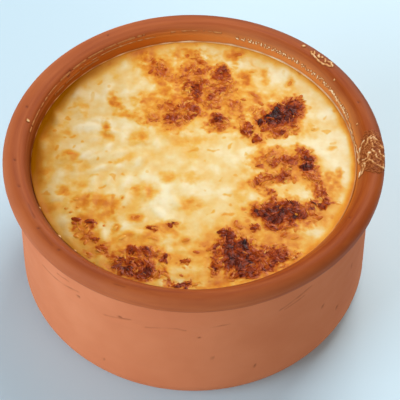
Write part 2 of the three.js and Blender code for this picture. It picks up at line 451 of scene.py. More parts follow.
def shape_clay(radius, height, across, outside, angle):
    """Where points of the section end up on the dish, in millimetres, and how deep the marks are there."""
    along = circle(angle)
    standing = smoothstep(2, 10, height)
    wobble = WOBBLE * noise(along, 0.9, 11)
    rings = WALL_RING_DEPTH * np.sin(TURN * height / WALL_RING_SPACING + 1.5 * noise(along, 1.2, 12))
    lumps = LUMPS * noise(np.stack([angle * RIM_RADIUS, height], 1), 9, 13, 3)
    outwards = (wobble + np.where(outside, rings + lumps, 0.4 * lumps)) * standing
    crease = -CREASE_DEPTH * bell(across - CREASE_ACROSS - 0.3 * noise(along, 0.8, 14), CREASE_WIDTH)
    far_left = smoothstep(math.radians(60), math.radians(25), np.abs(angle - math.radians(FAR_LEFT)))
    for place in GROOVES_ACROSS:
        crease -= GROOVE_DEPTH * (0.25 + 0.75 * far_left) * bell(across - place, GROOVE_WIDTH)
    inner = smoothstep(56.8, 52, radius) * smoothstep(SURFACE_HEIGHT - 0.5, 53.5, height)
    sag = -MOUTH_SAG * inner * (1 - along[:, 1]) / 2
    degrees = np.degrees(angle)
    on_wall = marks_at(unrolled(degrees, height), WALL_SCRATCHES, WALL_PITS) * outside * (height < WALL_TOP)
    over_lip = (across > -0.5) * (across < LIP_SPAN)
    lip_marks = marks_at(unrolled(degrees, across), LIP_SCRATCHES, LIP_PITS) * over_lip
    mark = np.maximum(on_wall, lip_marks)
    outwards -= np.where(outside, PIT_DEPTH * on_wall, 0)
    upwards = np.where((across > -3) & (across < LIP_SPAN), crease + sag - PIT_DEPTH * lip_marks, 0)
    moved = radius + outwards
    return np.stack([moved * along[:, 0], moved * along[:, 1], height + upwards], 1), mark


def on_lip(angle, across, lift=0.0):
    """Places on the clay of the lip, by angle in degrees and millimetres outwards from the mouth's edge."""
    angle, across = np.broadcast_arrays(np.asarray(angle, float), np.asarray(across, float))
    radius = np.interp(across.ravel(), lip_across[::-1], lip_line[::-1, 0])
    height = np.interp(across.ravel(), lip_across[::-1], lip_line[::-1, 1])
    turned = (np.radians(angle.ravel()) + math.pi) % TURN - math.pi
    slope = np.gradient(lip_line, lip_across, axis=0)
    leaning = np.stack([np.interp(across.ravel(), lip_across[::-1], slope[::-1, i]) for i in (0, 1)], 1)
    leaning /= np.hypot(*leaning.T)[:, None]
    places = shape_clay(radius, height, across.ravel(), np.zeros(radius.shape, bool), turned)[0]
    normal = np.stack([-leaning[:, 1] * np.cos(turned), -leaning[:, 1] * np.sin(turned), leaning[:, 0]], 1)
    return places + normal * np.broadcast_to(lift, angle.shape).ravel()[:, None]


print("the lip is", round(float(lip_across[0]), 1), "mm from the mouth's edge to its widest ring")

# %% Turn the dish
DISH_SEGMENTS = 576
SLIP_EDGE_HEIGHT = 51.6
# The middles of the sides that differ, in degrees round the dish like FAR_LEFT.
FULL_SLIP_SIDE = 20
MILKY_SIDE = 40
HAZY_SIDE = 45
EDGE_SHADE_SIDE = 48
SHADED_SIDE = -135


def ring_faces(rings, segments):
    """Four-sided faces between rings of corners, each ring having as many corners as there are segments."""
    i = np.arange(segments)
    nexts = (i + 1) % segments
    one_band = np.stack([i, nexts, nexts + segments, i + segments], 1)
    return np.concatenate([one_band + k * segments for k in range(rings - 1)])


def side_share(angle, middle, low, high):
    """1 at the side of the dish whose middle lies at so many degrees, fading to 0 away from it."""
    return smoothstep(low, high, np.cos(angle - math.radians(middle)))


def turned_dish():
    """Corners, faces and fields of the dish: its slip, the milk baked onto it, its painted shade and its
    marks.
    """
    rows = np.array(section[1:-1])
    row_across = np.full(len(rows), 99.0)  # the outside is far from the mouth's edge
    row_across[crest - 1:] = lip_across[:-1]
    radius, height, across = (np.repeat(v, DISH_SEGMENTS) for v in (rows[:, 0], rows[:, 1], row_across))
    angle = np.tile(np.arange(DISH_SEGMENTS) * TURN / DISH_SEGMENTS - math.pi, len(rows))
    outside = np.repeat(np.arange(len(rows)) < crest, DISH_SEGMENTS)
    along = circle(angle)
    edge = SLIP_EDGE_HEIGHT + 0.3 * noise(along, 0.5, 16)
    dipped = smoothstep(edge - 0.3, edge + 0.3, height)
    # Less slip towards the outer round of the lip makes it lighter: partly wear, and partly painted light
    # where that round faces the camera and the lamps.
    worn_and_painted_light = 0.35 * smoothstep(8.8, 5.5, across) + 0.65 * dipped
    # On the right side of the lip the slip stays full, so its outer round stays dark there.
    worn_and_painted_light += (1 - worn_and_painted_light) * 0.9 * side_share(angle, FULL_SLIP_SIDE, -0.2, 0.7) * dipped
    slip = np.where(outside | (across > 5.5), worn_and_painted_light, 1)
    # Hands and cloths wore the slip thin on the far left of the lip.
    wiped = side_share(angle, FAR_LEFT, -0.3, 0.8) * smoothstep(0.5, 3, across)
    slip = slip * (1 - 0.3 * wiped)
    milk = np.where(outside, 0, smoothstep(2.6, -0.4, across + 0.8 * noise(along, 0.25, 19, 2)))
    milk = milk * (0.55 + 0.45 * np.cos(angle - math.radians(MILKY_SIDE)))
    corners, mark = shape_clay(radius, height, across, outside, angle)
    # Painted shade darkens the mouth at the near left, and at the far right milk left a pale haze there.
    reach = 3 - 1.6 * along[:, 0] + 0.6 * noise(along, 0.3, 18, 2)
    painted_shade = smoothstep(reach, -0.5, across) * side_share(angle, SHADED_SIDE, 0.0, 0.8) * (~outside)
    haze = smoothstep(4.4, 0.2, across + 0.5 * noise(along, 0.2, 20, 2))
    haze = haze * side_share(angle, HAZY_SIDE, 0.4, 0.95)
    haze = 0.32 * haze * (~outside) * (height > WALL_TOP)
    # Painted shade darkens the outer edge of the lip at the far right.
    painted_edge_shade = side_share(angle, EDGE_SHADE_SIDE, 0.3, 0.9) * smoothstep(5, 9.5, across)
    painted_shade = np.maximum(painted_shade, 0.9 * painted_edge_shade * dipped)
    fields = {"slip": slip, "milk": milk, "mark": mark, "painted_shade": painted_shade, "haze": haze,
              "lip_radius": radius + height, "lip_angle": np.abs(angle) * 4}
    return corners, ring_faces(len(rows), DISH_SEGMENTS), fields


dish_corners, dish_faces, dish_fields = turned_dish()
print("slip covers", round(100 * float(dish_fields["slip"].mean())), "percent of the corners")

# %% [markdown]
# ## Terracotta
# Terracotta is low-fired earthenware, coloured by iron. Raw, it is matt and a little dusty, pink-orange, with
# faint clouds where the kiln was hotter. Dipped in slip and baked again and again with buttery milk, it turns
# deeper, redder and satin. Both are one material, so that the boundary between them can be soft, and the
# slip value of each corner chooses between them. Four tints go over that: milk baked on at the mouth's edge,
# its pale haze at the far right, painted shade at the near left of the mouth and on the outer edge of the lip
# at the far right, and a darker colour in the scratches and pits. Clay has an IOR near 1.5 and no metal in
# it.

# %% Terracotta material
CLOUD_MM = 22
STREAK_MM = 1.6
GRIT_MM = 0.45


def terracotta():
    """Raw, matt clay below and slipped, satin clay on the lip and inside."""
    material, tree, shader, place = start_material("terracotta")
    at_corner = {name: add_node(tree, "ShaderNodeAttribute", {"attribute_name": name}).outputs["Fac"]
                 for name in ("slip", "lip_radius", "lip_angle", "milk", "haze", "painted_shade", "mark")}
    clouds = add_node(tree, "ShaderNodeTexNoise", inputs={
        "Vector": place, "Scale": 1 / (CLOUD_MM * MM), "Detail": 3.0}).outputs["Fac"]
    raw = add_node(tree, "ShaderNodeValToRGB", inputs={"Fac": clouds})
    set_ramp(raw, [(0.3, "c8724a"), (0.52, "cd784f"), (0.72, "d27e55")])
    # The dish turned on the wheel while the wet slip was wiped, so its streaks run round the lip.
    round_the_lip = add_node(tree, "ShaderNodeCombineXYZ", inputs={
        "X": at_corner["lip_radius"], "Y": at_corner["lip_angle"]})
    streaks = add_node(tree, "ShaderNodeTexNoise", inputs={
        "Vector": round_the_lip.outputs["Vector"], "Scale": 1 / STREAK_MM, "Detail": 3.0, "Roughness": 0.6})
    slipped = add_node(tree, "ShaderNodeValToRGB", inputs={"Fac": streaks.outputs["Fac"]})
    set_ramp(slipped, [(0.3, "8e3b10"), (0.5, "9c4715"), (0.72, "ab551e")])
    colour = raw.outputs["Color"]
    # Over the slip lie baked milk, its pale haze, a dark tint of painted shade, and a darker colour in the
    # marks.
    tints = [("slip", slipped.outputs["Color"]), ("milk", linear("d0701c")), ("haze", linear("de9c60")),
             ("painted_shade", linear("743409")), ("mark", linear("7a3a20"))]
    for name, tint in tints:
        colour = add_node(tree, "ShaderNodeMix", {"data_type": "RGBA"}, {
            "Factor": at_corner[name], "A": colour, "B": tint}).outputs["Result"]
    tree.links.new(colour, shader.inputs["Base Color"])
    roughness = add_node(tree, "ShaderNodeMapRange", inputs={
        "Value": at_corner["slip"], "To Min": 0.82, "To Max": 0.5})
    tree.links.new(roughness.outputs["Result"], shader.inputs["Roughness"])
    shader.inputs["IOR"].default_value = 1.5
    shader.inputs["Specular IOR Level"].default_value = 0.12
    grit = add_node(tree, "ShaderNodeTexNoise", inputs={
        "Vector": place, "Scale": 1 / (GRIT_MM * MM), "Detail": 2.0}).outputs["Fac"]
    bump = add_node(tree, "ShaderNodeBump", inputs={"Strength": 0.25, "Distance": 0.0001, "Height": grit})
    tree.links.new(bump.outputs["Normal"], shader.inputs["Normal"])
    return material


clay_dish = build_piece("clay_dish", dish_corners, dish_faces, terracotta(), dish_fields)

# %% Close the foot and the floor
def close_holes(piece):
    """Fills the open rings left round the axis, each with one flat many-sided face."""
    shape = bmesh.new()
    shape.from_mesh(piece.data)
    open_edges = [edge for edge in shape.edges if edge.is_boundary]
    bmesh.ops.holes_fill(shape, edges=open_edges, sides=0)
    bmesh.ops.recalc_face_normals(shape, faces=shape.faces)
    shape.to_mesh(piece.data)
    shape.free()
    return len(open_edges)


print("closed", close_holes(clay_dish), "open edges")
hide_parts("dish")
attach(clay_dish, "root")

# %% [markdown]
# ## Where the pudding browned
# The oven's top heat browned the pudding unevenly. Where the skin stayed wet it is cream and only stained
# gold, and where it dried it blistered, crumbled and scorched. A cook would describe this patch by patch, and
# so does this list: each oval has a place, a half length, a half width, a turn and a strength. The far side
# of the dish is +Y.

# %% Stains, crusts and char
GOLD_STAINS = [
    (-11, 38, 15, 5, -50, 0.8), (-2, 45, 9, 3.5, 0, 0.55), (14, 45.5, 3.2, 3, 0, 0.9),
    (17, 34.5, 3, 4, 30, 0.7), (23.5, 37.5, 2, 2.5, 0, 0.4), (31.5, 33, 2, 3, 0, 0.38),
    (20, 27, 2.5, 3.5, 0, 0.6), (24, 33, 1.6, 3, -20, 0.32), (0, 24, 15, 9, 0, 0.35),
    (-13, 21, 7, 6, 30, 0.5), (9, 27, 9, 9, 0, 0.5), (2, 35, 12, 10, 0, 0.5), (-5, 31, 8, 6, 0, 0.45),
    (16, 12, 7, 4, -50, 0.5), (20, 7.5, 3, 3, 0, 0.45), (0, 8, 8, 4, 0, 0.3), (28, 19, 11, 8, 30, 0.28),
    (26, 27, 8, 4, 10, 0.28), (24.5, -3, 10, 8.5, 20, 0.45), (34, -2, 7, 6, 100, 0.8),
    (39.5, -11.5, 10, 3.4, -70, 0.8), (42.3, -7.5, 3.4, 1.3, 85, 1), (45.2, -6.5, 3.4, 1.2, 78, 1),
    (43.6, -10.5, 2.8, 1.8, 0, 1), (44, -12, 4, 3, 60, 0.5), (27, -22, 13, 5, 0, 0.6),
    (20, -10, 5, 4, 0, 0.45), (24, -29, 8, 4, 0, 0.4), (14, -38, 14, 11, -10, 0.6),
    (27, -36, 10, 6, 25, 0.75), (14, -28, 6, 3, 0, 0.6), (38.5, -23.5, 3.2, 3.5, 20, 0.55),
    (8, -47.5, 4, 4, 0, 0.8), (5, -36, 4, 8, 0, 0.4), (-17, -39, 12, 8, -10, 0.65),
    (-26, -34, 5, 4, 0, 0.45), (-33, -27, 3.6, 8, 15, 0.75), (-30, -17, 9, 3.4, -10, 0.8),
    (-27, -22, 3.5, 3.5, 0, 0.65), (-40.5, -13.5, 2.4, 3, 0, 0.7), (-36, -9.5, 4, 2, -20, 0.35),
    (-39, 2, 3, 2, 0, 0.45), (-38, -2, 6, 3, 0, 0.3), (-15, -12.5, 5, 3.4, -30, 0.6),
    (-8.3, -6.8, 2.5, 3, 0, 0.5), (-1, -7, 4, 2.2, 0, 0.4), (-1, -18, 3.4, 3.4, 0, 0.6),
    (-8.5, -27.5, 6, 3.4, 0, 0.75), (-13, -31, 4, 2.4, -20, 0.5), (-18, -23, 2.4, 1.8, 30, 0.65),
    (-20, -30.5, 3, 1.6, 40, 0.5), (-23.5, -27.5, 2.2, 1.2, 60, 0.45), (-3, -33, 4, 2, 10, 0.45),
    (-3, -38, 5, 3, 0, 0.4), (-25.5, 24.5, 4.6, 2, -70, 0.75), (-21.5, 19.5, 4, 1.8, -20, 0.5),
    (-28, 13.5, 4.6, 1.7, -80, 0.8), (-17, 9.5, 4, 3, 20, 0.5), (-15, 27, 7, 3, 10, 0.4),
    (-23, 0, 4, 1.6, 20, 0.3), (-36, 22, 5, 1.6, -65, 0.3), (-41, 13, 5, 2, -50, 0.35),
    (-7, 17, 6, 8, 0, 0.5), (33, 12, 3, 2, 90, 0.4), (38, 13, 2.6, 4, 0, 0.35), (44, 5, 1.6, 1.2, 0, 0.4),
    (-44, -19, 4, 2, 0, 0.35), (-48, -4, 4, 8, 0, 0.35), (-47, 12, 3, 9, 20, 0.35), (15, -13, 3, 6, 0, 0.3),
    (0, -46, 5, 3, 0, 0.35), (-36, -19, 4, 2.5, 0, 0.25),
]
CRUSTS = [
    (-12, 40, 5.5, 2.6, -62, 0.52), (-8, 36, 4, 2.4, -20, 0.35), (2, 42.5, 6, 2.2, -48, 0.45),
    (-1, 37, 5.5, 4.4, 60, 0.5), (1, 31.5, 4.4, 4.5, 60, 0.66), (9.2, 36.5, 3.6, 4.6, 10, 0.66),
    (8, 30.5, 6, 4, 20, 0.55), (4, 25.5, 12, 4.6, 10, 0.45), (-9.5, 23, 4, 3.4, 0, 0.4),
    (-5, 18.5, 6.6, 4.4, 50, 0.64), (-12.5, 18, 4.5, 3, 10, 0.42), (-1, 20, 4.5, 3, 40, 0.62),
    (7.8, 16.2, 4.6, 3.4, -38, 0.64), (14, 22, 3, 5, 10, 0.42), (17, 13, 2.2, 3.6, 25, 0.62),
    (20.3, 8.6, 1.8, 1.8, 0, 0.6), (27.3, 18, 8, 5, 30, 0.9), (32.5, 23.5, 3.6, 3, 30, 0.8),
    (20.5, 20.5, 2.5, 4, 30, 0.4), (28.5, 13, 6, 3, 20, 0.6), (27, 0, 8, 5, 0, 0.52),
    (21.5, -8.5, 4.4, 3, 30, 0.52), (28, -6.5, 4.6, 3, 20, 0.55), (25, 1.5, 2.2, 3, 20, 0.55),
    (35.6, -1.2, 6.6, 3, 102, 0.84), (38, -9, 5, 2.2, -72, 0.62), (39.8, -14.8, 4, 2, -60, 0.56),
    (24, -13.5, 2.2, 1.8, 0, 0.5), (27.5, -21, 9.8, 5.1, -4, 0.86), (21, -21.5, 2.6, 3.2, 0, 0.9),
    (38, -18.2, 6.4, 0.9, 6, 0.75), (26.5, -26, 6, 3, -10, 0.6), (18.6, -27.4, 1.5, 1.2, 0, 0.75),
    (14.4, -27.5, 2, 1.7, 0, 0.45), (10.4, -29.8, 2.5, 2.2, 0, 0.78), (13.5, -37.5, 8.2, 7.2, -30, 0.88),
    (21.5, -39.5, 8.4, 6, 20, 0.76), (16, -44.5, 6.6, 2.6, 12, 0.78), (30.5, -38.4, 3.6, 0.8, 10, 0.65),
    (7.5, -40, 2.2, 5, 0, 0.7), (-16.5, -37.2, 6.8, 3.4, 4, 0.68), (-17.5, -43, 8.4, 5, -12, 0.76),
    (-22, -40, 4, 3, 0, 0.6), (-8.8, -38.5, 1.4, 2, 10, 0.8), (-3.2, -40.5, 1.8, 1, 0, 0.66),
    (-3.6, -49.2, 4.4, 1.1, 0, 0.85), (-30.2, -31.6, 1.7, 0.9, 0, 0.8), (-27.3, -35.2, 2.8, 1.4, -30, 0.62),
    (-32, -38, 2.2, 1, -20, 0.45), (-36, -24.3, 1.9, 1.4, -20, 0.8), (-32, -25.4, 2, 1.8, 20, 0.72),
    (-33.5, -29, 1.8, 3.6, 0, 0.5), (-35.5, -26.5, 2.4, 2.6, 20, 0.42), (-39, 2.2, 1.8, 0.7, 0, 0.42),
    (-18, -23.3, 1.2, 0.7, 30, 0.5), (-12.6, -27.8, 2.4, 0.7, -20, 0.6), (-6.5, -26.2, 2.4, 0.6, 0, 0.62),
    (38.3, -23.8, 1.6, 1.7, 0, 0.42),
]
CHARS = [
    (26.5, 19.4, 3.5, 2, 40, 0.93), (22.6, 17.2, 2.4, 1.3, 30, 0.85), (31, 21.5, 2.5, 1.6, 40, 0.5),
    (20.8, -21.4, 1.6, 2.2, 0, 0.55), (32.6, -22.6, 3, 1.6, 10, 0.4), (28, -17.9, 4.5, 0.6, 4, 0.5),
    (12.2, -35, 3.6, 1.7, 30, 0.4), (10.4, -39.5, 1.8, 3, 20, 0.34), (16.5, -38, 1.6, 4.4, 35, 0.32),
    (-14.6, -43.6, 3, 1.6, 0, 0.15), (-5.8, 15.6, 2.4, 1.8, 20, 0.25), (35.4, -0.4, 3, 1.1, 100, 0.12),
    (40.4, -15.2, 2.2, 0.9, -30, 0.1), (-8.8, -38.6, 0.9, 1.4, 10, 0.15), (7, 16.5, 2.2, 0.9, -40, 0.3),
    (10, 36.4, 1.4, 2, 0, 0.1),
]
# Single toasted grains that stick out of the pale skin: place, turn, browning and size of each.
TOASTED_GRAINS = [
    (-39, 2.5, 0, 0.42, 0.7), (-36.5, -16, 10, 0.36, 0.45), (-22, -15.5, 80, 0.42, 0.35),
    (-17.5, -23, 30, 0.48, 0.65), (-27.5, -26.5, 60, 0.45, 0.3), (-24, -27.5, 60, 0.3, 0.6),
    (-21.5, -31, 40, 0.32, 0.75), (-36, -24, -15, 0.68, 0.8), (-32, -24.5, 10, 0.62, 0.75),
    (-30, -31.5, 0, 0.62, 0.75), (-27.5, -35, -25, 0.55, 0.85), (-31.5, -37.5, -25, 0.5, 0.85),
    (-26, -38, 20, 0.48, 0.55), (-12, -27.5, -20, 0.42, 0.55), (-12.5, -31.5, -15, 0.38, 0.8),
    (-5.5, -25.5, 5, 0.45, 0.6), (-8.5, -38.5, 80, 0.74, 0.75), (-2.5, -40, 0, 0.58, 0.75),
    (-2.5, -32, 20, 0.42, 0.8), (1, -36.5, -15, 0.52, 0.7), (-3.5, -45.5, -30, 0.5, 0.45),
    (-7.5, -47, -20, 0.52, 0.35), (-9.5, -45, 0, 0.5, 0.35), (-39.5, -19.5, 0, 0.4, 0.25),
    (-38, -21, 40, 0.4, 0.3), (-36, -19, 0, 0.4, 0.3), (17, 13.5, 70, 0.62, 0.75),
    (20.5, 8.5, 0, 0.62, 0.75), (18.5, -27.5, 0, 0.72, 0.6), (14.5, 46, 0, 0.5, 0.9),
    (16.5, 36, 40, 0.45, 0.8), (19, 38, 0, 0.36, 0.6), (31.5, 33, 60, 0.42, 0.7),
    (20, 27.5, -40, 0.48, 0.9), (21.5, 24.5, -50, 0.5, 0.8), (38.5, 13, 30, 0.3, 0.5),
    (38.5, -23.5, 30, 0.5, 0.8), (27.5, -30, 40, 0.5, 0.8), (31, -31, 20, 0.42, 0.8),
    (13, -25, 70, 0.5, 0.7), (24.5, 17.5, 0, 0.6, 0.7),
]
print("stains, crusts, charred cores and grains:",
      [len(ovals) for ovals in (GOLD_STAINS, CRUSTS, CHARS, TOASTED_GRAINS)])

# %% Ovals as fields
def oval_distance(points, oval):
    """0 in the middle of an oval, 1 on its outline, at flat points."""
    x, y, half_length, half_width, turn = oval[:5]
    turn = math.radians(turn)
    dx, dy = points[:, 0] - x, points[:, 1] - y
    along = (dx * math.cos(turn) + dy * math.sin(turn)) / half_length
    across = (dy * math.cos(turn) - dx * math.sin(turn)) / half_width
    return np.hypot(along, across)


def spread(points, ovals, inner, outer):
    """How strongly ovals cover points together: fully up to the inner share of each, not past the outer."""
    clear = np.ones(len(points))
    for oval in ovals:
        clear *= 1 - oval[5] * smoothstep(outer, inner, oval_distance(points, oval))
    return 1 - clear


def strongest(points, ovals, inner, outer):
    """The strength of the strongest oval over each point."""
    best = np.zeros(len(points))
    for oval in ovals:
        best = np.maximum(best, oval[5] * smoothstep(outer, inner, oval_distance(points, oval)))
    return best


def frayed(points, seed, amount=1.0):
    """Points moved a little by noise, so that the ovals they are tested against get ragged outlines."""
    return points + amount * 1.5 * noise_pair(points, 5, seed, 3, 0.6)


middle_of_crust = np.array([CRUSTS[0][:2]], float)
print("in the middle of the first crust its distance is", oval_distance(middle_of_crust, CRUSTS[0])[0])

# %% [markdown]
# ## Grains under the skin
# Cooked short-grain rice is about 6 mm long and 2.6 mm wide, and it lies just under the skin. A grain lifts
# the skin into a soft oval bump. The grains are laid out by dart throwing: a random place is kept only if no
# grain is too near, which gives the even but restless cover that a spoon leaves in a pan.

# %% Lay the grains
PUDDING_RADIUS = BORE_RADIUS + 0.05
GRAIN_COUNT = 400
GRAIN_LENGTH = 6.2
GRAIN_WIDTH = 2.6
GRAIN_SPACING = 4.4
GRAIN_SEED = 21


def everywhere(points):
    """The same chance at every point."""
    return np.ones(len(points))


def scattered(count, spacing, radius, seed, chance=everywhere):
    """Random places in a disc, none nearer to another than the spacing, more of them where chance is high."""
    rng = np.random.default_rng(seed)
    tries = rng.uniform(-radius, radius, (count * 30, 2))
    tries = tries[np.hypot(*tries.T) < radius]
    tries = tries[rng.uniform(size=len(tries)) < chance(tries)]
    kept, taken = [], {}
    for place in tries:
        column, row = (int(k) for k in np.floor(place / spacing))
        near = [taken[i, j] for i in (column - 1, column, column + 1) for j in (row - 1, row, row + 1)
                if (i, j) in taken]
        if all(math.dist(place, other) > spacing for other in near) and (column, row) not in taken:
            taken[column, row] = place
            kept.append(place)
        if len(kept) == count:
            break
    return np.array(kept)


grain_places = scattered(GRAIN_COUNT, GRAIN_SPACING, PUDDING_RADIUS - 2, GRAIN_SEED)
grain_rng = np.random.default_rng(GRAIN_SEED + 1)
# Stirring left the grains roughly in line with their neighbours: a slow swirl turns them, and chance.
grain_turns = 60 + 70 * noise(grain_places, 28, 23) + grain_rng.normal(0, 30, len(grain_places))
grain_sizes = grain_rng.uniform(0.9, 1.4, len(grain_places))
# At the left the milk baked away and left the grains standing; at the right they stayed under it.
standing_out = 0.12 + 0.5 * smoothstep(12, -22, grain_places[:, 0])
grain_lifts = grain_rng.uniform(0.1, 1.0, len(grain_places)) * standing_out
print(len(grain_places), "grains lie under the skin")

# %% [markdown]
# ## Crumbled crust
# Where the skin dried out it broke into overlapping flakes and toasted grains, each tilted its own way, with
# dark gaps between. Cells round scattered seeds make such flakes: every seed owns a small tilted plane, and
# the skin follows the highest plane near it. Where one plane passes under another there is a sharp step.

# %% Flake field
FLAKE_COUNT = 1350
FLAKE_SPACING = 1.75
FLAKE_SLOPE = 0.5
FLAKE_SEED = 31
POINTS_AT_ONCE = 4000  # spares memory

flake_places = scattered(FLAKE_COUNT, FLAKE_SPACING, PUDDING_RADIUS - 1, FLAKE_SEED)
flake_rng = np.random.default_rng(FLAKE_SEED + 1)
flake_turns = flake_rng.uniform(0, TURN, len(flake_places))
flake_tilts = np.tan(np.radians(flake_rng.uniform(6, 38, len(flake_places))))
flake_heights = flake_rng.uniform(-0.25, 0.35, len(flake_places))
flake_tones = flake_rng.uniform(-1, 1, len(flake_places))


def flakes_at(points):
    """Height in millimetres, tone from -1 to 1, nearness to an edge and place on the flake at each point."""
    height = np.full(len(points), -9.0)
    second = np.full(len(points), -9.0)
    tone = np.zeros(len(points))
    place = np.zeros((len(points), 2))
    for start in range(0, len(points), POINTS_AT_ONCE):
        part = slice(start, start + POINTS_AT_ONCE)
        offset = points[part, None, :] - flake_places[None]
        along = offset[..., 0] * np.cos(flake_turns) + offset[..., 1] * np.sin(flake_turns)
        across = offset[..., 1] * np.cos(flake_turns) - offset[..., 0] * np.sin(flake_turns)
        away = np.hypot(along / 1.7, across)
        level = flake_heights + flake_tilts * np.clip(across, -0.8, 0.8) - FLAKE_SLOPE * away ** 2
        order = np.argsort(level, 1)[:, -2:]
        rows = np.arange(len(level))
        height[part] = level[rows, order[:, 1]]
        second[part] = level[rows, order[:, 0]]
        tone[part] = flake_tones[order[:, 1]]
        place[part] = np.stack([along[rows, order[:, 1]], across[rows, order[:, 1]]], 1)
    return height, tone, smoothstep(0.22, 0.0, height - second), place


sample = flakes_at(np.random.default_rng(5).uniform(-30, 30, (2000, 2)))
print("flake heights from", round(float(sample[0].min()), 2), "to", round(float(sample[0].max()), 2), "mm")

# %% [markdown]
# ## The skin
# The top of the pudding is a disc of fine, even triangles: ring k has 6 k corners, so no triangle is long and
# thin. Every corner is lifted by the meniscus at the wall, slow waves, the grains and the flakes. The same
# fields also give each corner its browning, from 0 for cream to 1 for charcoal, which the material reads.
# Round each crust lies a toasted halo, and at the left painted shade darkens the skin, most along the wall
# where the milk is thin.

# %% Shape of the skin
SKIN_RINGS = 178
MENISCUS_RISE = 0.6
MENISCUS_WIDTH = 1.6
WHOLE_SKIN_LIMIT = 0.5  # skin that stayed whole never browns further than this
PLAIN_SKIN = 0.1  # browning away from grains, stains and crusts
CRUST_LIFT = 0.5
FLAKE_LIFT = 0.3
SHADE_BAND = 3.3  # millimetres from the left wall of the band of strong painted shade, where the milk is thin
SHADE_REACH = 24  # and over which a faint painted shade reaches into the pudding


def grain_bumps(points):
    """How far the grains lift the skin at flat points: a rounded bump over each one."""
    lifted = np.zeros(len(points))
    for place, turn, size, lift in zip(grain_places, grain_turns, grain_sizes, grain_lifts):
        near = np.flatnonzero(np.sum((points - place) ** 2, 1) < (GRAIN_LENGTH * 1.1) ** 2)
        oval = (*place, GRAIN_LENGTH / 2 * size, GRAIN_WIDTH / 2 * size, turn)
        away = oval_distance(points[near], oval)
        lifted[near] = np.hypot(lifted[near], lift * bell(away, 1))
    return lifted


def sides(points):
    """How far to the right and to the far side points lie, as shares of their distance from the middle."""
    return (points / np.maximum(1, np.hypot(*points.T))[:, None]).T


def pale_browning(points, bumps, from_wall):
    """Browning where the skin stayed whole: gold between the grains, in stains and along the wall."""
    browned = PLAIN_SKIN + 0.08 * noise(points, 14, 55, 2) + 0.07 * noise(points, 4.5, 56, 3) - 0.18 * bumps
    # Painted shade browns the left, and most of all the near left, a little darker, and painted light makes
    # the far right a little paler.
    diagonal = points[:, 0] + points[:, 1]
    browned += 0.035 * smoothstep(10, -45, points[:, 0]) + 0.015 * smoothstep(10, -60, diagonal)
    browned -= 0.035 * smoothstep(28, 56, diagonal)
    flecked = smoothstep(0.42, 0.62, noise(points, 2.6, 57)) * smoothstep(-0.2, 0.4, noise(points, 18, 58))
    gold = spread(frayed(points, 45, 0.8), GOLD_STAINS, 0.15, 1.5)
    blotched = 0.5 + 0.35 * smoothstep(0, 25, points[:, 1])  # the far side browned in finer spots
    halos = [(x, y, 2.6 * size, 1.8 * size, turn, 0.5) for x, y, turn, _, size in TOASTED_GRAINS]
    around_grains = spread(frayed(points, 49, 0.6), halos, 0.3, 1.7)
    spotted = 0.75 + blotched * noise(points, 2.6, 59, 3)
    browned += 0.18 * flecked + 0.6 * gold * spotted + 0.3 * around_grains
    # The line at the wall is gold, faint at the near side and stronger and narrower at the right.
    rightwards, farwards = sides(points)
    width = 2.4 - 0.8 * rightwards + 0.7 * noise(points, 7, 60, 2)
    at_wall = 0.3 - 0.2 * smoothstep(0.1, 0.9, -farwards)
    at_wall = at_wall + 0.15 * smoothstep(0.5, 1, rightwards - 0.3 * farwards)
    browned += bell(from_wall, width) * at_wall
    return WHOLE_SKIN_LIMIT * np.tanh(browned / WHOLE_SKIN_LIMIT)


def crust_at(points):
    """How far the crust has gone at points: its strength, how surely it is crust at all, and its char."""
    ragged = frayed(points, 41)
    crust = strongest(ragged, CRUSTS, 0.5, 1.45)
    gaps = smoothstep(0.1, 0.5, noise(points, 3.4, 64, 2)) * smoothstep(0.85, 0.45, crust)
    crust = crust * (1 - 0.45 * gaps)
    return crust, smoothstep(0.15, 0.5, crust), strongest(ragged, CHARS, 0.1, 1.5)


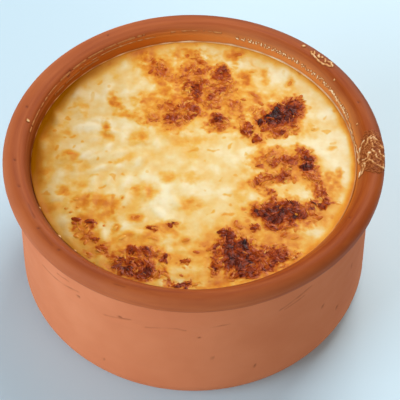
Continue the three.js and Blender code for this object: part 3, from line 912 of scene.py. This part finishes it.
def skin(points):
    """The skin at flat points: height over the milk's level in millimetres, and fields for the material."""
    from_wall = PUDDING_RADIUS - np.hypot(points[:, 0], points[:, 1])
    crust, crusted, char = crust_at(points)
    shaken = points + 0.35 * noise_pair(points, 2, 47, 2)
    flake_height, flake_tone, flake_edge, flake_place = flakes_at(shaken)
    bumps = grain_bumps(points) * (1 - 0.75 * crusted)
    height = 0.25 * noise(points, 15, 51, 2) + 0.05 * noise(points, 3.4, 52, 2) + bumps
    height += crusted * (CRUST_LIFT * crust + FLAKE_LIFT * (0.5 + 0.7 * crust) * (flake_height + 0.15))
    height += 0.05 * crusted * noise(points, 0.9, 53, 2)
    inner = smoothstep(0, 1.8, from_wall)
    height = np.clip(height, -0.6, 1.9) * (0.15 + 0.85 * inner)
    height += MENISCUS_RISE * bell(from_wall, MENISCUS_WIDTH)

    pale = pale_browning(points, bumps, from_wall)
    # Round every crust the skin is toasted orange, and the orange fades out into the cream.
    halo = strongest(frayed(points, 65, 1.3), CRUSTS, 0.7, 1.55)
    toasted = 0.15 + 0.33 * halo + 0.2 * noise(points, 2.2, 66, 3) + 0.05 * flake_tone
    pale = pale + np.maximum(toasted - pale, 0) * smoothstep(0, 0.25, halo)
    uneven = 0.09 * flake_tone + 0.04 * flake_edge + 0.13 * noise(points, 3, 61, 3)
    burnt = 0.21 + 0.52 * crust + uneven * smoothstep(0.1, 0.5, crust)
    browning = pale + np.maximum(burnt - pale, 0) * smoothstep(0.03, 0.3, crust)
    browning = np.clip(browning, 0, 0.8)
    broken = 0.4 + 0.6 * smoothstep(-0.6, 0.4, flake_tone + noise(points, 1.8, 62, 2))
    browning += (0.95 - browning) * char * broken
    # Painted shade at the left: strong in a band along the wall, where the milk is also thin, and faint far
    # into the pudding.
    rightwards, farwards = sides(points)
    leftwards = smoothstep(0.2, 0.9, -rightwards) * (1 - 0.5 * smoothstep(0.02, 0.35, -farwards))
    thin_milk_and_painted_shade = bell(from_wall, SHADE_BAND + noise(points, 9, 63, 2)) + 0.37 * bell(from_wall, SHADE_REACH)
    thin_milk_and_painted_shade = 0.8 * leftwards * thin_milk_and_painted_shade
    return height, {"browning": np.clip(browning, 0, 1), "crusted": crusted, "thin_milk_and_painted_shade": thin_milk_and_painted_shade,
                    "fibre_along": flake_place[:, 0], "fibre_across": flake_place[:, 1] + 7 * flake_tone}

# %% Grow the skin
def disc_points(radius, rings):
    """Evenly spread flat points of a disc, triangles between them, and the last ring's first corner."""
    points = [np.zeros((1, 2))]
    faces = []
    inner_start, start = 0, 1
    for ring in range(1, rings + 1):
        count = 6 * ring
        i = np.arange(count)
        angle = i * TURN / count
        points.append(radius * ring / rings * circle(angle))
        inner = i - i // ring
        inner_count = max(1, count - 6)
        here, after = start + i, start + (i + 1) % count
        below, beside = inner_start + inner % inner_count, inner_start + (inner + 1) % inner_count
        faces.append(np.stack([here, after, below], 1))
        faces.append(np.stack([below, after, beside], 1)[i % ring < ring - 1])
        inner_start, start = start, start + count
    return np.concatenate(points), np.concatenate(faces), inner_start


flat, skin_faces, last_ring = disc_points(PUDDING_RADIUS, SKIN_RINGS)
lift, fields = skin(flat)
print(f"relief from {lift.min():.2f} to {lift.max():.2f} mm")

# %% [markdown]
# ## Closing the pudding
# The pudding isn't a skin alone: under it the set milk fills the dish. Nobody sees that part, but the piece
# stands for the whole filling, so its side and its bottom are made too, just inside the clay.

# %% Pudding body
BODY_GAP = 0.3


def pudding_body():
    """Corners, faces and the fields of the whole filling, top, side and bottom."""
    corners = np.column_stack([flat, SURFACE_HEIGHT + lift])
    count = 6 * SKIN_RINGS
    around = circle(np.arange(count) * TURN / count)
    bottom = FLOOR_THICKNESS + BODY_GAP
    turn = FLOOR_THICKNESS + BORE_ROUND
    levels = [(BORE_RADIUS - 0.1, 40), (BORE_FOOT_RADIUS - BODY_GAP, turn),
              (BORE_FOOT_RADIUS - 3, turn - 6.2), (BORE_FOOT_RADIUS - BORE_ROUND, bottom)]
    faces = [skin_faces]
    above = last_ring
    for radius, level in levels:
        start = len(corners)
        corners = np.vstack([corners, np.column_stack([radius * around, np.full(count, level)])])
        i = np.arange(count)
        nexts = (i + 1) % count
        faces.append(np.stack([above + i, start + i, above + nexts], 1))
        faces.append(np.stack([above + nexts, start + i, start + nexts], 1))
        above = start
    corners = np.vstack([corners, [[0, 0, bottom]]])
    i = np.arange(count)
    faces.append(np.stack([above + i, np.full(count, len(corners) - 1), above + (i + 1) % count], 1))
    extra = len(corners) - len(flat)
    padded = {name: np.pad(values, (0, extra)) for name, values in fields.items()}
    return corners, np.concatenate(faces), padded


body_corners, body_faces, body_fields = pudding_body()
print("the whole pudding has", len(body_faces), "triangles")

# %% [markdown]
# ## Baked milk
# The skin of a baked milk pudding is protein and sugar. Pale, it is cream coloured, moist and lets light in a
# little way, so it needs some subsurface scattering. As it browns it goes through gold, orange and rust to a
# brown that is almost black, it lets less light in, and melted butter and sugar make it shine in small sharp
# glints. One ramp holds the colours of that journey. Over it a dark clay colour is mixed in as painted shade
# at the left, most along the wall, where the milk is also thin. Milk and fat have an IOR near 1.45.

# %% Baked milk material
SKIN_GRAIN_MM = 0.8
SKIN_MOTTLE_MM = 2.4
FIBRE_WIDTH = 0.7
FIBRE_STRETCH = 0.22
FIBRE_CONTRAST = 0.5


def baked_milk():
    """Cream to charcoal by the browning of each corner, moist and slightly translucent."""
    material, tree, shader, place = start_material("baked_milk_skin")
    baked, crust, thin_milk_and_painted_shade, along, across = (
        add_node(tree, "ShaderNodeAttribute", {"attribute_name": name}).outputs["Fac"]
        for name in ("browning", "crusted", "thin_milk_and_painted_shade", "fibre_along", "fibre_across"))
    mottle = add_node(tree, "ShaderNodeTexNoise", inputs={
        "Vector": place, "Scale": 1 / (SKIN_MOTTLE_MM * MM), "Detail": 4.0, "Roughness": 0.62}).outputs["Fac"]
    swing = add_node(tree, "ShaderNodeMapRange", inputs={
        "Value": baked, "From Min": 0.0, "From Max": 0.6, "To Min": 0.05, "To Max": 0.16}).outputs["Result"]
    centred = add_node(tree, "ShaderNodeMath", {"operation": "SUBTRACT"}, {0: mottle, 1: 0.5}).outputs[0]
    varied = add_node(tree, "ShaderNodeMath", {"operation": "MULTIPLY_ADD"}, {0: centred, 1: swing, 2: baked})
    # The crust splits into fibres, so its streaks are narrow across a flake and long along it.
    drawn_out = add_node(tree, "ShaderNodeMath", {"operation": "MULTIPLY"}, {0: along, 1: FIBRE_STRETCH})
    on_flake = add_node(tree, "ShaderNodeCombineXYZ", inputs={"X": across, "Y": drawn_out.outputs[0]})
    fibres = add_node(tree, "ShaderNodeTexNoise", inputs={
        "Vector": on_flake.outputs["Vector"], "Scale": 1 / FIBRE_WIDTH, "Detail": 2.0}).outputs["Fac"]
    fibre_swing = add_node(tree, "ShaderNodeMath", {"operation": "MULTIPLY"}, {0: crust, 1: FIBRE_CONTRAST})
    split = add_node(tree, "ShaderNodeMath", {"operation": "SUBTRACT"}, {0: fibres, 1: 0.5}).outputs[0]
    streaked = add_node(tree, "ShaderNodeMath", {"operation": "MULTIPLY_ADD"}, {
        0: split, 1: fibre_swing.outputs[0], 2: varied.outputs[0]})
    ramp = add_node(tree, "ShaderNodeValToRGB", inputs={"Fac": streaked.outputs[0]})
    set_ramp(ramp, [
        (0.0, "f6e8c0"), (0.1, "efd292"), (0.2, "ecba5c"), (0.3, "e89f38"), (0.4, "d98028"), (0.5, "c05c1b"),
        (0.6, "a23d0a"), (0.7, "7b2a0c"), (0.8, "571d0e"), (0.9, "3a1a16"), (1.0, "221a1c"),
    ])
    # Painted shade at the left: a dark clay colour is mixed into the skin, most where the milk drew up thin
    # by the wall.
    painted_shade = add_node(tree, "ShaderNodeMix", {"data_type": "RGBA"}, {
        "Factor": thin_milk_and_painted_shade, "A": ramp.outputs["Color"], "B": linear("8c5000")})
    tree.links.new(painted_shade.outputs["Result"], shader.inputs["Base Color"])
    roughness = add_node(tree, "ShaderNodeMapRange", inputs={
        "Value": crust, "To Min": 0.33, "To Max": 0.25}).outputs["Result"]
    tree.links.new(roughness, shader.inputs["Roughness"])
    shader.inputs["IOR"].default_value = 1.45
    wet = add_node(tree, "ShaderNodeMapRange", inputs={
        "Value": crust, "To Min": 0.1, "To Max": 0.13}).outputs["Result"]
    dulled = add_node(tree, "ShaderNodeMath", {"operation": "SUBTRACT"}, {0: 1.0, 1: thin_milk_and_painted_shade}).outputs[0]
    shine = add_node(tree, "ShaderNodeMath", {"operation": "MULTIPLY"}, {0: wet, 1: dulled}).outputs[0]
    tree.links.new(shine, shader.inputs["Specular IOR Level"])
    depth = add_node(tree, "ShaderNodeMapRange", inputs={
        "Value": baked, "From Min": 0.1, "From Max": 0.6, "To Min": 0.25, "To Max": 0.0}).outputs["Result"]
    tree.links.new(depth, shader.inputs["Subsurface Weight"])
    shader.inputs["Subsurface Radius"].default_value = (1.0, 0.7, 0.4)
    shader.inputs["Subsurface Scale"].default_value = 0.0010
    fine = add_node(tree, "ShaderNodeTexNoise", inputs={
        "Vector": place, "Scale": 1 / (SKIN_GRAIN_MM * MM), "Detail": 3.0}).outputs["Fac"]
    relief = add_node(tree, "ShaderNodeMapRange", inputs={
        "Value": crust, "To Min": 0.12, "To Max": 0.8}).outputs["Result"]
    rough = add_node(tree, "ShaderNodeMix", {"data_type": "FLOAT"}, {"Factor": crust, "A": fine, "B": fibres})
    bump = add_node(tree, "ShaderNodeBump", inputs={
        "Strength": relief, "Distance": 0.0004, "Height": rough.outputs["Result"]})
    tree.links.new(bump.outputs["Normal"], shader.inputs["Normal"])
    return material


milk_skin = baked_milk()
pudding = build_piece("baked_pudding", body_corners, body_faces, milk_skin, body_fields)
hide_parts("pudding")
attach(pudding, "root")

# %% [markdown]
# ## Crumbs on the crusts
# A scorched crust is not smooth. It is made of splinters: dry bits of skin and rice, one to three millimetres
# long and about half a millimetre wide, some pale, some nearly black, with facets that glint. Each one here
# is a small closed shape with flat facets, and all of them are one mesh. They are strewn by chance where the
# crust is strong, and each takes its browning from the crust it lies on, give or take.

# %% Copies of a small shape
def strewn_copies(template, faces, places, sizes, turns, pitches, rolls, uneven, rng):
    """Corners and faces of copies of a small shape: stretched, made uneven, rolled, pitched and turned."""
    shape = template[None] * sizes[:, None] * (1 + uneven * rng.normal(size=(len(places), len(template), 1)))
    for first, second, angles in ((1, 2, rolls), (2, 0, pitches), (0, 1, turns)):
        cos, sin = np.cos(angles)[:, None], np.sin(angles)[:, None]
        old_first, old_second = shape[..., first].copy(), shape[..., second].copy()
        shape[..., first] = old_first * cos - old_second * sin
        shape[..., second] = old_first * sin + old_second * cos
    corners = (shape + places[:, None]).reshape(-1, 3)
    starts = np.arange(len(places))[:, None, None] * len(template)
    return corners, (faces[None] + starts).reshape(-1, faces.shape[1])


def splinter():
    """A flat splinter with pointed ends, one wide and long: six corners round it, two on top, six below."""
    outline = [(-1, 0), (-0.5, -0.45), (0.45, -0.5), (1, 0.05), (0.5, 0.45), (-0.4, 0.5)]
    corners = [(x / 2, y, 0.2) for x, y in outline] + [(-0.22, 0, 0.5), (0.24, 0, 0.45)]
    corners += [(x / 2, y, -0.5) for x, y in outline]
    left, right, under = 6, 7, 8
    faces = [(left, 0, 1), (left, 1, 2), (left, 2, right), (right, 2, 3), (right, 3, 4), (right, 4, 5),
             (right, 5, left), (left, 5, 0)]
    for i in range(6):
        after = (i + 1) % 6
        faces += [(i, under + i, after), (after, under + i, under + after)]
    faces += [(under, under + i + 1, under + i) for i in range(1, 5)]
    return np.array(corners), np.array(faces)


print("a splinter has", len(splinter()[1]), "facets")

# %% Strew the splinters
SPLINTER_COUNT = 1250
SPLINTER_SPACING = 0.8
SPLINTER_LENGTH = (1.1, 2.9)
SPLINTER_WIDTH = (0.28, 0.62)
SPLINTER_THICKNESS = 0.18
SPLINTER_SEED = 71


def splinter_chance(points):
    """More splinters where the crust is stronger, and a few on its fringe."""
    crust, crusted, _ = crust_at(points)
    return 0.9 * smoothstep(0.3, 0.8, crust) * crusted


splinter_places = scattered(
    SPLINTER_COUNT, SPLINTER_SPACING, PUDDING_RADIUS - 1.5, SPLINTER_SEED, splinter_chance)
splinter_rng = np.random.default_rng(SPLINTER_SEED + 1)
count = len(splinter_places)
splinter_lift, splinter_fields = skin(splinter_places)
splinter_base = np.column_stack([splinter_places, SURFACE_HEIGHT + splinter_lift])
splinter_sizes = np.column_stack([splinter_rng.uniform(*SPLINTER_LENGTH, count),
                                  splinter_rng.uniform(*SPLINTER_WIDTH, count),
                                  np.full(count, SPLINTER_THICKNESS)])
# Neighbours lie the same way, as they do where a blister burst: a slow noise turns them, and chance.
splinter_turns = 5 * noise(splinter_places, 7, 73) + splinter_rng.normal(0, 0.55, count)
template, template_faces = splinter()
corners, faces = strewn_copies(
    template, template_faces, splinter_base, splinter_sizes, splinter_turns,
    splinter_rng.normal(0, 0.22, count), splinter_rng.normal(0, 0.35, count), 0.12, splinter_rng)
splinter_browning = splinter_fields["browning"] + splinter_rng.normal(0.01, 0.06, count)
# A few splinters are paler: partly pale bits of skin and partly painted glints on the crust.
pale_and_glinting = splinter_rng.uniform(size=count) < 0.07
splinter_browning -= np.where(pale_and_glinting, splinter_rng.uniform(0.08, 0.25, count), 0)
splinter_values = {"browning": np.repeat(np.clip(splinter_browning, 0.25, 0.97), len(template)),
                   "crusted": np.ones(len(corners))}
crust_splinters = build_piece("crust_splinters", corners, faces, milk_skin, splinter_values, smooth=False)
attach(crust_splinters, "root")

# %% [markdown]
# ## Toasted grains
# Here and there one grain of rice pokes through the pale skin, and the oven toasts its back. Only a cap of it
# shows. A cooked grain is a plump ellipsoid, so these are round balls stretched to a grain's length and width
# and sunk into the skin until about a fifth of their thickness stands out.

# %% Grain shape
def ball(segments, rings):
    """Corners and triangles of a ball one wide."""
    corners = [(0, 0, 0.5)]
    for ring in range(1, rings):
        slant = math.pi * ring / rings
        for i in range(segments):
            turn = TURN * i / segments
            corners.append((0.5 * math.sin(slant) * math.cos(turn), 0.5 * math.sin(slant) * math.sin(turn),
                            0.5 * math.cos(slant)))
    corners.append((0, 0, -0.5))
    faces = [(0, 1 + i, 1 + (i + 1) % segments) for i in range(segments)]
    for ring in range(rings - 2):
        start = 1 + ring * segments
        for i in range(segments):
            nexts = (i + 1) % segments
            faces.append((start + i, start + segments + i, start + nexts))
            faces.append((start + nexts, start + segments + i, start + segments + nexts))
    last = 1 + (rings - 2) * segments
    faces += [(last + i, len(corners) - 1, last + (i + 1) % segments) for i in range(segments)]
    return np.array(corners), np.array(faces)


GRAIN_BALL = ball(12, 8)
print("a grain has", len(GRAIN_BALL[1]), "triangles")

# %% Toast the grains
TOASTED_LENGTH = 4.4
TOASTED_WIDTH = 1.9
SUNK = 0.6  # how far its middle lies below the skin, as a share of half its thickness
SMALL_GRAINS = 150
SMALL_GRAIN_SPACING = 2.2
SMALL_GRAIN_SEED = 81


def fringe_chance(points):
    """Grains show on the fringes of the crusts."""
    crust, crusted, _ = crust_at(points)
    fringe = smoothstep(0.05, 0.3, crust) * (1 - 0.6 * crusted)
    return 0.5 * fringe


listed = np.array(TOASTED_GRAINS)
small_places = scattered(
    SMALL_GRAINS, SMALL_GRAIN_SPACING, PUDDING_RADIUS - 2, SMALL_GRAIN_SEED, fringe_chance)
toast_rng = np.random.default_rng(SMALL_GRAIN_SEED + 1)
small = len(small_places)
toast_places = np.vstack([listed[:, :2], small_places])
toast_turns = np.radians(np.concatenate([listed[:, 2], toast_rng.uniform(0, 180, small)]))
toast_lift, toast_fields = skin(toast_places)
toast_browning = np.concatenate(
    [listed[:, 3], toast_fields["browning"][-small:] + toast_rng.uniform(0.02, 0.16, small)])
toast_size = np.concatenate([listed[:, 4], toast_rng.uniform(0.3, 0.8, small)])
toast_sizes = np.column_stack([TOASTED_LENGTH * toast_size, TOASTED_WIDTH * (0.35 + 0.65 * toast_size),
                               TOASTED_WIDTH * (0.25 + 0.5 * toast_size)])
toast_base = np.column_stack([toast_places, SURFACE_HEIGHT + toast_lift - SUNK * toast_sizes[:, 2] / 2])
template, template_faces = GRAIN_BALL
corners, faces = strewn_copies(
    template, template_faces, toast_base, toast_sizes, toast_turns,
    toast_rng.normal(0, 0.1, len(toast_base)), toast_rng.normal(0, 0.1, len(toast_base)), 0.03, toast_rng)
# The ends and the edges of a toasted grain stay paler than its back.
paler = np.tile(0.07 * np.hypot(template[:, 0], template[:, 1]) * 2, len(toast_base))
toast_values = {"browning": np.clip(np.repeat(toast_browning, len(template)) - paler, 0.05, 0.95),
                "crusted": np.full(len(corners), 0.8)}
toasted_rice = build_piece("toasted_rice", corners, faces, milk_skin, toast_values)
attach(toasted_rice, "root")

# %% [markdown]
# ## Milk on the lip
# Milk boiled up to the lip and dried there. It left froth that dried to pale specks on the far side, two
# drips on the far right and, on the right, a patch of skin that wrinkled as it dried. Pale lines of painted
# highlight lie on the grooves at the far left and along the mouth's edge at the right, with three painted
# glints at its near left. All of it is one thin sheet laid on the clay: its thickness is worked out at each
# place from lines, specks and wrinkles, and where it comes out at nothing there is no sheet. A bead of dried
# skin all round, where the pudding sticks to the clay, is a piece of its own in the same material.

# %% Places of the dried milk
# A line is a list of (angle in degrees, millimetres outwards from the mouth's edge), and a spot is one such
# place with its size.
WRINKLED_LINES = [
    [(5.3, 6.1), (3.8, 4.5), (2.2, 3.6)], [(5.3, 6.1), (2.7, 6.3), (1.1, 6.9), (0.2, 8.4), (1.4, 9.3)],
    [(4.4, 6.6), (2.4, 7.2), (0.8, 8.2)],
    [(2.8, 5.4), (0.5, 5.7), (-0.5, 6.6), (-1.1, 7.7), (-2.6, 7.8), (-2.7, 9)],
    [(-0.8, 5.2), (-2.6, 6.3), (-4.4, 6.6), (-4.8, 8.4)],
    [(-6.6, 6.4), (-7.3, 7.2), (-7.4, 9.2), (-5.3, 8.8)],
    [(-2, 4.3), (-4.1, 3.9), (-6.2, 5.5), (-6.6, 6.4)], [(-4.1, 3.9), (-4.2, 1.9)],
    [(-5, 4.4), (-5.6, 2.2)], [(-5, 3), (-7.5, 2.9), (-10, 2.2)], [(-6.2, 2.3), (-8.4, 1.7), (-11, 1.2)],
    [(4.2, 3.1), (2.2, 2), (0.9, 1.1), (-2, 1)], [(3, 4.4), (1, 3.3), (-1.4, 2.8)],
]
# The first two lines run along the mouth's edge at the right and are a painted highlight of that edge; the
# rest are drips.
RUN_AND_HIGHLIGHT_LINES = [
    [(31, 0.5), (27, 0.2), (23, 0.1), (19, -0.1), (14, -0.6), (10, -0.9), (5.4, -1.2)],
    [(5.2, -0.5), (3.4, 0), (0, 0.2), (-2.3, 0.4), (-4, 0.5)],
    [(47.1, 5.9), (44.7, 5), (42, 4.8), (40.5, 5), (38.2, 5.8)], [(46.4, 6.7), (45.6, 6)],
    [(44.3, 6.9), (43.4, 5.9)], [(41.3, 6.9), (40.8, 6.1)], [(39.9, 7), (38.9, 7.2), (37.8, 6.5)],
]
# Painted highlights on the grooves at the far left, laid as faint pale lines of the sheet.
GROOVE_HIGHLIGHT_LINES = [
    [(172, 1.5), (160, 1.4), (150, 1.6), (141, 1.7), (130, 1.8), (118, 1.8), (108, 1.9)],
    [(140, 0.3), (132, 0.5), (124, 0.6), (115, 0.6), (104, 0.4)], [(150, -0.5), (138, -0.6), (127, -0.5)],
    [(98, 1.3), (90, 1.4), (80, 1.3)],
]
# Spots of dried milk; the three at the mouth's edge at the near left, from -156 to -134 degrees, are painted
# glints.
MILK_SPOTS_AND_GLINTS = [
    (50.8, 6.4, 0.4), (42.6, 6.6, 0.35), (-155.9, 0, 0.3), (-141.6, 0.2, 0.55), (-133.6, 0.2, 0.45),
    (167, 3.2, 0.4), (-2.7, 9, 0.5), (3.6, 5.3, 0.4), (-2, 4.3, 0.4), (12, 2.4, 0.3), (33, 3.6, 0.25),
]
FROTH_ANGLES = (14, 19, 70, 82)  # the froth starts, is full, thins out and ends
WRINKLE_WIDTH = 0.2
RUN_AND_HIGHLIGHT_WIDTH = 0.26
GROOVE_HIGHLIGHT_WIDTH = 0.22
WRINKLED_PATCH = (-1.5, 6, 8.5, 5, 0)  # middle and half sizes on the unrolled lip, and its turn
print(len(WRINKLED_LINES) + len(RUN_AND_HIGHLIGHT_LINES) + len(GROOVE_HIGHLIGHT_LINES), "lines and", len(MILK_SPOTS_AND_GLINTS), "spots of milk")

# %% Lay the dried milk
MILK_STEP = 0.2
MILK_EDGES = (-2.4, 10.4)
SHEET_THICKNESS = 0.12
SHEET_SUNK = 0.03
THINNEST = 0.05  # no sheet where the milk is thinner


def dried_milk(points):
    """Thickness in millimetres and paleness of the dried milk at unrolled points of the lip."""
    wavy = points + 0.4 * noise_pair(points, 1.5, 91, 2)
    ridge = near_lines(wavy, WRINKLED_LINES, WRINKLE_WIDTH) * (0.6 + 0.9 * noise(points, 1.8, 101))
    runs_and_highlights = near_lines(wavy, RUN_AND_HIGHLIGHT_LINES, RUN_AND_HIGHLIGHT_WIDTH) * (0.75 + 0.5 * noise(points, 1.3, 93))
    # Faint pale lines along the grooves are painted highlights.
    painted_groove_highlights = near_lines(points, GROOVE_HIGHLIGHT_LINES, GROOVE_HIGHLIGHT_WIDTH) * (0.24 + 0.3 * noise(points, 2.5, 102, 2))
    runs_and_highlights = np.maximum.reduce([runs_and_highlights, painted_groove_highlights, near_spots(wavy, MILK_SPOTS_AND_GLINTS)])
    angle = np.degrees(points[:, 0] / UNROLLED_RADIUS)
    starts, full, thins, ends = FROTH_ANGLES
    along_band = smoothstep(starts, full, angle) * smoothstep(ends, thins, angle)
    band = along_band * bell(points[:, 1] - 0.5 - 0.4 * noise(points, 9, 94), 0.8)
    specks = smoothstep(0.1, 0.4, noise(points, 0.5, 95)) * smoothstep(0.3, 0.8, band)
    patch = smoothstep(1.15, 0.7, oval_distance(frayed(points, 96, 0.4), WRINKLED_PATCH))
    squiggle = patch * bell(noise(points, 1.1, 97, 2), 0.16)
    thick = 0.35 * ridge + 0.3 * runs_and_highlights + 0.1 * specks + 0.15 * squiggle + 0.06 * patch
    pale = np.clip(0.2 * (1 - patch) + 0.85 * ridge + 0.8 * runs_and_highlights + 0.85 * specks + 0.35 * squiggle, 0, 1)
    return thick, pale


def milk_sheet():
    """Corners, faces and paleness of the dried milk, only where there is some."""
    angles = np.arange(-180, 180, math.degrees(MILK_STEP / UNROLLED_RADIUS))
    acrosses = np.arange(*MILK_EDGES, MILK_STEP)
    angle, across = (grid.ravel() for grid in np.meshgrid(angles, acrosses, indexing="ij"))
    thick, pale = dried_milk(unrolled(angle, across))
    count = len(acrosses)
    start = (np.arange(len(angles) - 1)[:, None] * count + np.arange(count - 1)).ravel()
    faces = np.stack([start, start + count, start + count + 1, start + 1], 1)
    faces = faces[thick[faces].max(1) > THINNEST]
    used, faces = np.unique(faces, return_inverse=True)
    corners = on_lip(angle[used], across[used], thick[used] - SHEET_SUNK)
    return corners, faces.reshape(-1, 4), pale[used]


def dried_milk_material():
    """Dried milk: brown where it is thin and pale where it is thick."""
    material, tree, shader, _ = start_material("dried_milk")
    pale = add_node(tree, "ShaderNodeAttribute", {"attribute_name": "pale"}).outputs["Fac"]
    ramp = add_node(tree, "ShaderNodeValToRGB", inputs={"Fac": pale})
    set_ramp(ramp, [(0.0, "7a3a16"), (0.2, "9c5428"), (0.6, "d8995c"), (1.0, "f2dab0")])
    tree.links.new(ramp.outputs["Color"], shader.inputs["Base Color"])
    shader.inputs["Roughness"].default_value = 0.4
    shader.inputs["IOR"].default_value = 1.45
    shader.inputs["Specular IOR Level"].default_value = 0.05
    return material


milk_material = dried_milk_material()
corners, faces, pale = milk_sheet()
dried_milk_on_lip = build_piece("dried_milk", corners, faces, milk_material, {"pale": pale})
sheet = dried_milk_on_lip.modifiers.new("sheet", "SOLIDIFY")
sheet.thickness = SHEET_THICKNESS * MM
sheet.offset = -1
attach(dried_milk_on_lip, "root")

# %% Film line
FILM_RADIUS = 51.3
FILM_SEGMENTS = 720
FILM_SIDES = 8
FILM_HALF_WIDTH = 0.24


def film_line():
    """A thin bead of dried skin round the pudding, where it climbed the wall and stuck."""
    along = circle(np.arange(FILM_SEGMENTS) * TURN / FILM_SEGMENTS)
    far_right = 0.6 * along[:, 0] + 0.8 * along[:, 1]
    thickness = np.clip(0.65 + 0.4 * far_right + 0.35 * noise(along * PUDDING_RADIUS, 5, 98, 2), 0.15, 1.4)
    half = FILM_HALF_WIDTH * thickness
    level = SURFACE_HEIGHT + MENISCUS_RISE - 0.15 + 0.25 * thickness
    level = level + 0.1 * noise(along * PUDDING_RADIUS, 9, 99)
    corners = []
    for side in np.arange(FILM_SIDES) * TURN / FILM_SIDES:
        radius = FILM_RADIUS + half[:, None] * math.cos(side)
        corners.append(np.column_stack([radius * along, level + 1.2 * half * math.sin(side)]))
    faces = ring_faces(FILM_SIDES + 1, FILM_SEGMENTS) % (FILM_SIDES * FILM_SEGMENTS)
    pale = 0.42 + 0.42 * far_right + 0.25 * noise(along * PUDDING_RADIUS, 4, 100)
    return np.concatenate(corners), faces, np.tile(pale, FILM_SIDES)


corners, faces, pale = film_line()
milk_film = build_piece("milk_film", corners, faces, milk_material, {"pale": np.clip(pale, 0, 1)})
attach(milk_film, "root")
